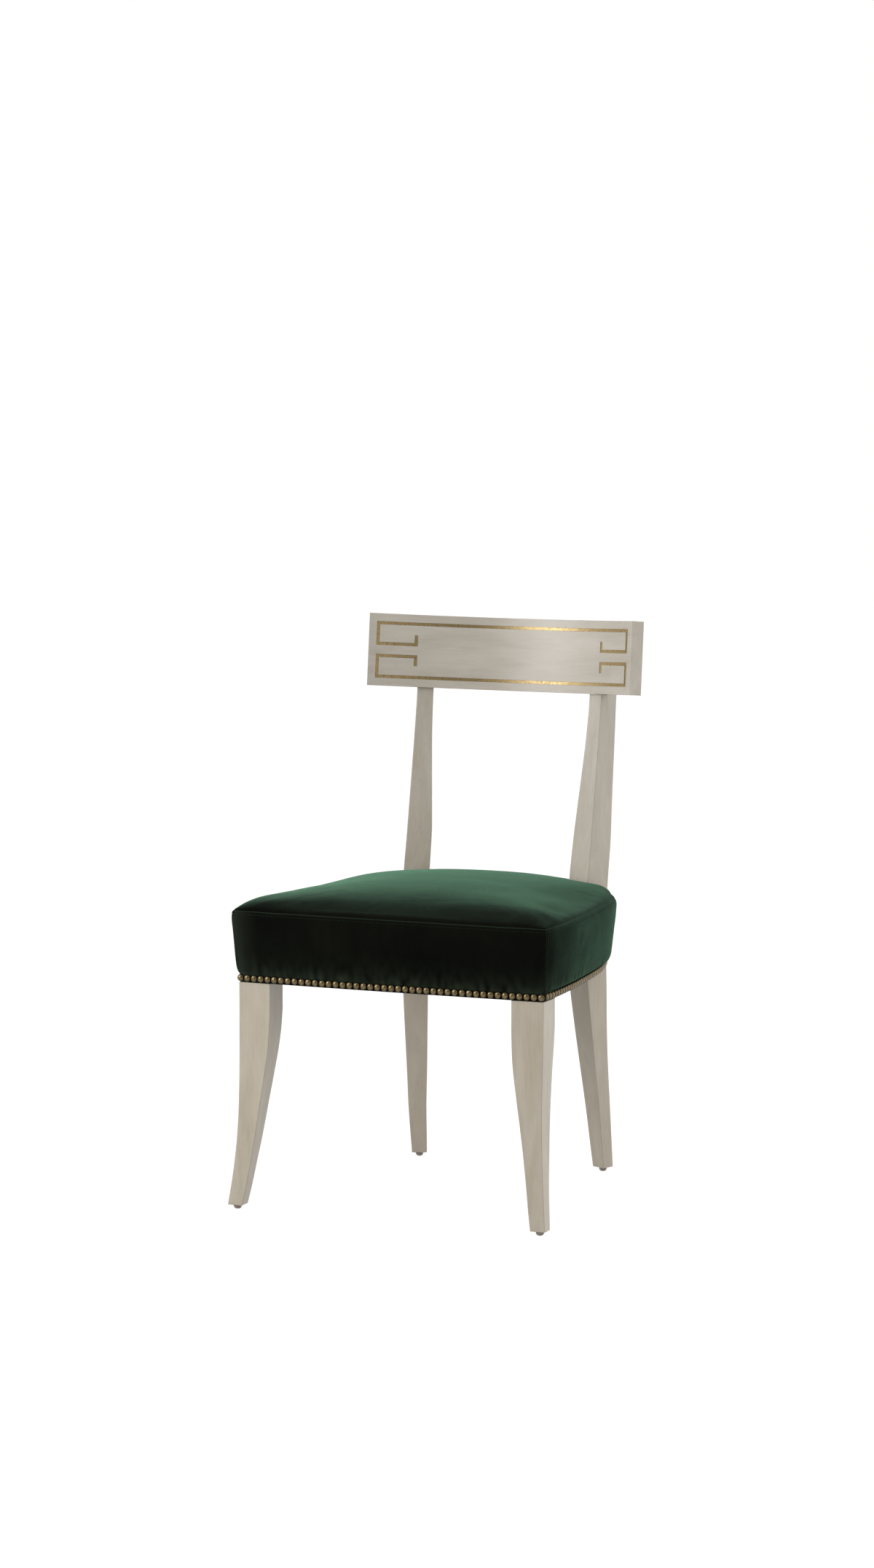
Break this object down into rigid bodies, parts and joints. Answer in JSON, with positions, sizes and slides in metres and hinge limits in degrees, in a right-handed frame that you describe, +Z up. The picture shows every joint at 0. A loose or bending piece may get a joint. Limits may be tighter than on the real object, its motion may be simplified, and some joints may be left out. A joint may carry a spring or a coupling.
{
  "type": "klismos dining chair",
  "caption": "Klismos dining chair with sabre legs, a bowed back rail inlaid with a key line, and a crowned seat in cloth edged with close nailing.",
  "frame": {"origin": "on the floor, under the middle of the bounding box", "axes": "+X to the right as seen from the front, +Y from the front to the back, +Z up"},
  "size_m": [0.5204, 0.5442, 0.8697],
  "materials": {
    "limed_wood": "pale limed hardwood under a satin lacquer, fine grey-white grain",
    "gold_leaf": "gilded inlay lines, satin metal with soft mottling",
    "plain_wood": "plain sawn hardwood and plywood, hidden inside the seat",
    "foam": "seat foam and cotton wadding, hidden under the cover",
    "velvet": "deep green cotton velvet with a soft sheen along the pile",
    "black_cloth": "matt black cambric",
    "aged_brass": "antiqued brass nail heads, darkened in the joints between them",
    "glide_nylon": "matt grey-beige nylon"
  },
  "bodies": {
    "root": {"top_rail": "limed_wood", "rear_leg_right": "limed_wood", "rear_leg_left": "limed_wood", "front_leg_right": "limed_wood", "front_leg_left": "limed_wood", "upper_rail_plug_right": "limed_wood", "upper_rail_plug_left": "limed_wood", "lower_rail_plug_right": "limed_wood", "lower_rail_plug_left": "limed_wood", "upper_key_inlay": "gold_leaf", "lower_key_inlay": "gold_leaf", "front_seat_rail": "plain_wood", "side_seat_rail_right": "plain_wood", "side_seat_rail_left": "plain_wood", "rear_seat_rail": "plain_wood", "front_corner_block_right": "plain_wood", "front_corner_block_left": "plain_wood", "seat_deck": "plain_wood", "seat_foam": "foam", "front_edge_wadding": "foam", "right_edge_wadding": "foam", "left_edge_wadding": "foam", "cover_top_panel": "velvet", "cover_front_boxing": "velvet", "cover_right_boxing": "velvet", "cover_rear_boxing": "velvet", "cover_left_boxing": "velvet", "dust_cover": "black_cloth", "front_nail_row": "aged_brass", "right_nail_row": "aged_brass", "rear_nail_row": "aged_brass", "left_nail_row": "aged_brass", "front_glide_right": "glide_nylon", "front_glide_left": "glide_nylon", "rear_glide_right": "glide_nylon", "rear_glide_left": "glide_nylon"}
  },
  "joints": []
}
